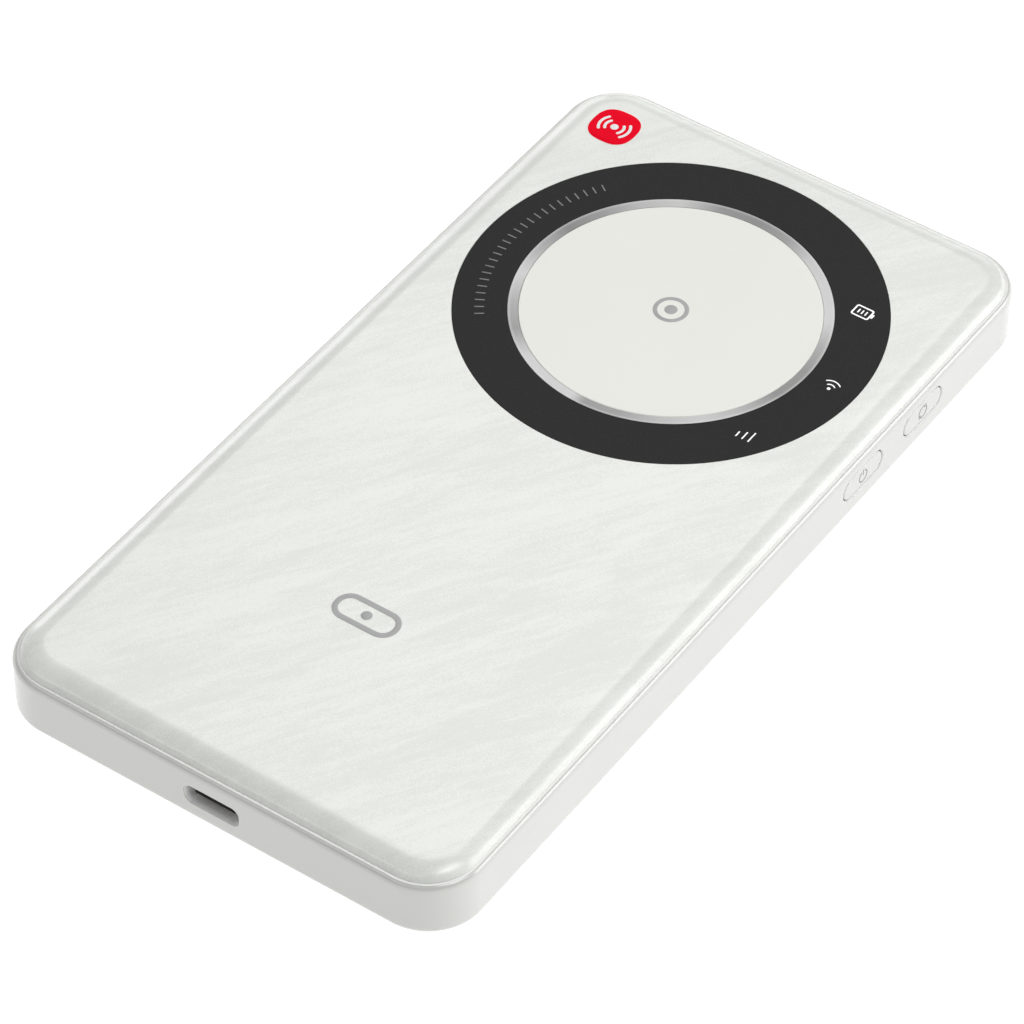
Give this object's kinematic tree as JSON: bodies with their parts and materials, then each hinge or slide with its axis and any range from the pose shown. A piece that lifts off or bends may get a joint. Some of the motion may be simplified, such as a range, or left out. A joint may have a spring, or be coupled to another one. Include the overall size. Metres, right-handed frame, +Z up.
{
  "type": "mobile hotspot",
  "caption": "Flat pocket wireless hotspot with a pearl cover, black indicator ring round a touch disc, USB-C port, side push buttons and a SIM tray.",
  "frame": {"origin": "centre of the flat base the device lies on", "axes": "+Z up out of the decorated cover, +Y along the long side towards the ring, -Y the short side with the USB-C port, +X the long side with the two buttons"},
  "size_m": [0.075, 0.1456, 0.0109],
  "materials": {
    "shell_white": "satin",
    "cover_pearl": "pearl",
    "lens_black": "satin",
    "trim_metal": "brushed",
    "disc_cream": "satin",
    "badge_red": "gloss",
    "ink_white": "satin",
    "ink_grey": "satin",
    "ink_dim": "satin",
    "icon_white": "satin",
    "foam_black": "matte",
    "frame_alloy": "satin",
    "guide_clear": "gloss",
    "led_yellow": "gloss",
    "flex_amber": "satin",
    "coil_copper": "satin",
    "ferrite_grey": "matte",
    "board_green": "satin",
    "part_dark": "satin",
    "can_steel": "satin",
    "chip_black": "matte",
    "pad_lilac": "matte",
    "graphite": "satin",
    "port_steel": "satin",
    "tongue_black": "satin",
    "contact_gold": "polished",
    "cell_foil": "satin",
    "tape_yellow": "satin",
    "lead_red": "satin",
    "tape_green": "matte",
    "switch_dark": "satin",
    "coax_black": "satin",
    "screw_steel": "polished",
    "plunger_tan": "satin",
    "antenna_gold": "satin"
  },
  "bodies": {
    "root": {"rear_housing": "shell_white", "top_cover": "cover_pearl", "cover_gasket": "foam_black", "mid_frame": "frame_alloy", "lens_ring": "lens_black", "trim_ring": "trim_metal", "centre_disc": "disc_cream", "badge_tile": "badge_red", "badge_mark": "ink_white", "disc_mark": "ink_grey", "cover_mark": "ink_grey", "ring_ticks": "ink_dim", "battery_icon": "icon_white", "wifi_icon": "icon_white", "signal_icon": "icon_white", "light_guide": "guide_clear", "indicator_leds": "led_yellow", "indicator_flex": "flex_amber", "nfc_coil": "coil_copper", "nfc_ferrite": "ferrite_grey", "main_board": "board_green", "board_parts": "part_dark", "modem_shield": "can_steel", "radio_shield": "can_steel", "modem_chip": "chip_black", "memory_chip": "chip_black", "radio_chip": "chip_black", "power_chip": "chip_black", "thermal_pads": "pad_lilac", "heat_spreader": "graphite", "usb_board": "board_green", "usb_shell": "port_steel", "usb_tongue": "tongue_black", "usb_contacts": "contact_gold", "link_flex": "flex_amber", "battery_cell": "cell_foil", "battery_board": "tape_yellow", "battery_lead": "lead_red", "battery_tape": "tape_green", "sim_socket": "can_steel", "power_switch": "switch_dark", "sync_switch": "switch_dark", "switch_flex": "flex_amber", "switch_bracket": "can_steel", "antenna_upper_left": "antenna_gold", "antenna_upper_right": "antenna_gold", "antenna_lower_left": "antenna_gold", "antenna_lower_right": "antenna_gold", "coax_leads": "coax_black", "coax_plugs": "contact_gold", "frame_screws": "screw_steel", "board_screws": "screw_steel"},
    "power_button": {"power_button": "shell_white", "power_symbol": "ink_grey", "power_plunger": "plunger_tan"},
    "sync_button": {"sync_button": "shell_white", "sync_symbol": "ink_grey", "sync_plunger": "plunger_tan"},
    "sim_tray": {"sim_tray": "shell_white", "sim_card": "contact_gold"}
  },
  "joints": [
    {"name": "power_press", "type": "slide", "parent": "root", "child": "power_button", "axis": [-1, 0, 0], "range_m": [0, 0.0003], "stiffness_N_per_m": 1500, "springref_m": -0.0002},
    {"name": "sync_press", "type": "slide", "parent": "root", "child": "sync_button", "axis": [-1, 0, 0], "range_m": [0, 0.0003], "stiffness_N_per_m": 1500, "springref_m": -0.0002},
    {"name": "tray_slide", "type": "slide", "parent": "root", "child": "sim_tray", "axis": [-1, 0, 0], "range_m": [0, 0.015]}
  ]
}
